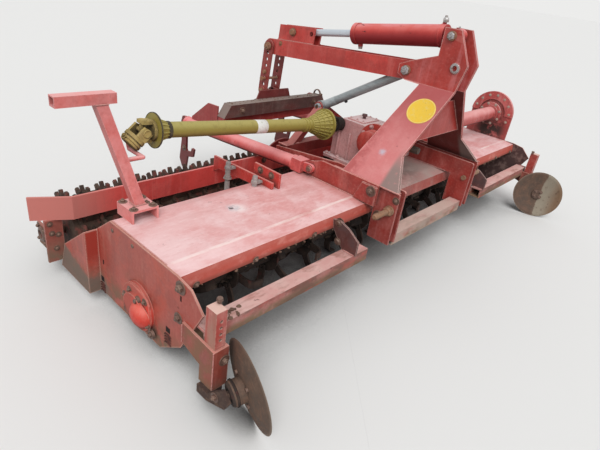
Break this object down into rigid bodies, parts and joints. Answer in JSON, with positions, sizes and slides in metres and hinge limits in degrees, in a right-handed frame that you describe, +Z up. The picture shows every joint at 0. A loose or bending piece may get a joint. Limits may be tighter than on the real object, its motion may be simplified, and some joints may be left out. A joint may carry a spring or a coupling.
{
  "type": "rotary ridger",
  "caption": "Full-width tractor rotary ridger with hooded rotor, side discs, bent-plate headstock, side gear drive, toothed packer roller, hydraulic rear lift linkage and stowed drive shaft.",
  "frame": {"origin": "middle of the machine's footprint, on the ground", "axes": "+X across the machine to its gear case, -Y towards the tractor, +Z up"},
  "size_m": [3.406, 2.0471, 1.3258],
  "materials": {
    "faded_red": "sun-faded red paint with dust",
    "bright_red": "stronger red paint, lightly dusty",
    "dark_red": "dark red paint under dust",
    "dusty_casting": "painted casting under pale dust",
    "worn_steel": "bare worn steel",
    "galvanised": "dull galvanised",
    "chrome_rod": "polished hard chrome",
    "rusty_steel": "brown rust and dried soil",
    "olive_plastic": "dusty olive plastic"
  },
  "bodies": {
    "frame": {"bearing_cover": "bright_red", "cheek_plates_left": "faded_red", "cheek_plates_right": "faded_red", "disc_holder_left": "faded_red", "disc_holder_right": "faded_red", "disc_shank_left": "rusty_steel", "disc_shank_right": "rusty_steel", "drive_case": "faded_red", "drive_shaft_core": "worn_steel", "drive_shaft_guard": "olive_plastic", "drive_tube": "faded_red", "front_tube_left": "faded_red", "front_tube_middle": "faded_red", "front_tube_right": "faded_red", "gearbox": "dusty_casting", "gearbox_cap": "dusty_casting", "hood_left": "faded_red", "hood_middle": "faded_red", "hood_right": "faded_red", "lower_link_pins": "worn_steel", "mast_cross_plate": "faded_red", "mast_pins": "worn_steel", "mast_plate_left": "faded_red", "mast_plate_right": "faded_red", "mast_stay": "galvanised", "packer_arch": "dark_red", "packer_board": "faded_red", "packer_hangers_left": "faded_red", "packer_hangers_right": "faded_red", "packer_leg_left": "dark_red", "packer_leg_right": "dark_red", "packer_scrapers": "rusty_steel", "packer_screws": "worn_steel", "rail_left": "faded_red", "rail_right": "faded_red", "rear_frame": "dark_red", "shaft_stand_base": "faded_red", "shaft_stand_post": "faded_red", "side_plate_left": "faded_red", "side_plate_right": "faded_red", "tube_brackets": "faded_red"},
    "input": {"input_shaft": "worn_steel"},
    "rotor": {"rotor_shaft": "rusty_steel", "rotor_blades": "rusty_steel"},
    "packer": {"packer_drum": "rusty_steel", "packer_rings": "rusty_steel"},
    "disc_left_body": {"disc_left": "rusty_steel"},
    "disc_right_body": {"disc_right": "rusty_steel"},
    "lever": {"lever_left": "faded_red", "lever_right": "faded_red", "lever_pins": "worn_steel"},
    "barrel": {"cylinder_barrel": "bright_red"},
    "rod": {"cylinder_rod": "chrome_rod"},
    "link": {"lift_link": "faded_red"},
    "arms": {"lift_arm_left": "faded_red", "lift_arm_right": "faded_red", "hitch_beam": "dark_red", "hitch_supports": "dark_red", "hitch_tower": "dark_red", "hitch_hooks": "dark_red"}
  },
  "joints": [
    {"name": "rotor_spin", "type": "hinge", "parent": "frame", "child": "rotor", "pos_m": [0, -0.29, 0.188], "axis": [1, 0, 0], "continuous": true},
    {"name": "input_spin", "type": "hinge", "parent": "frame", "child": "input", "pos_m": [0, -0.439, 0.649], "axis": [0, 1, 0], "continuous": true},
    {"name": "packer_spin", "type": "hinge", "parent": "frame", "child": "packer", "pos_m": [0, 0.435, 0.1847], "axis": [1, 0, 0], "continuous": true},
    {"name": "disc_left_spin", "type": "hinge", "parent": "frame", "child": "disc_left_body", "pos_m": [-1.478, -0.859, 0.1693], "axis": [-0.9463, 0.2839, -0.1547], "continuous": true},
    {"name": "disc_right_spin", "type": "hinge", "parent": "frame", "child": "disc_right_body", "pos_m": [1.478, -0.859, 0.1693], "axis": [0.9463, 0.2839, -0.1547], "continuous": true},
    {"name": "lever_lift", "type": "hinge", "parent": "frame", "child": "lever", "pos_m": [0, -0.368, 1.051], "axis": [1, 0, 0], "range_deg": [0, 16]},
    {"name": "barrel_swing", "type": "hinge", "parent": "frame", "child": "barrel", "pos_m": [0, -0.568, 1.251], "axis": [1, 0, 0], "range_deg": [0, 12.79]},
    {"name": "rod_slide", "type": "slide", "parent": "barrel", "child": "rod", "axis": [0, 0.9887, -0.1497], "range_m": [-0.0525, 0]},
    {"name": "link_swing", "type": "hinge", "parent": "lever", "child": "link", "pos_m": [0, 0.661, 0.977], "axis": [1, 0, 0], "range_deg": [-34.53, 0]},
    {"name": "arms_lift", "type": "hinge", "parent": "frame", "child": "arms", "pos_m": [0, -0.172, 0.513], "axis": [1, 0, 0], "range_deg": [0, 20.42]}
  ],
  "couplings": [
    {"joint": "input_spin", "follows": "rotor_spin", "ratio": 2.6},
    {"joint": "barrel_swing", "follows": "lever_lift", "ratio": 0.7963},
    {"joint": "rod_slide", "follows": "lever_lift", "m_per_rad": -0.1861},
    {"joint": "link_swing", "follows": "lever_lift", "ratio": -2.1553},
    {"joint": "arms_lift", "follows": "lever_lift", "ratio": 1.2729}
  ]
}
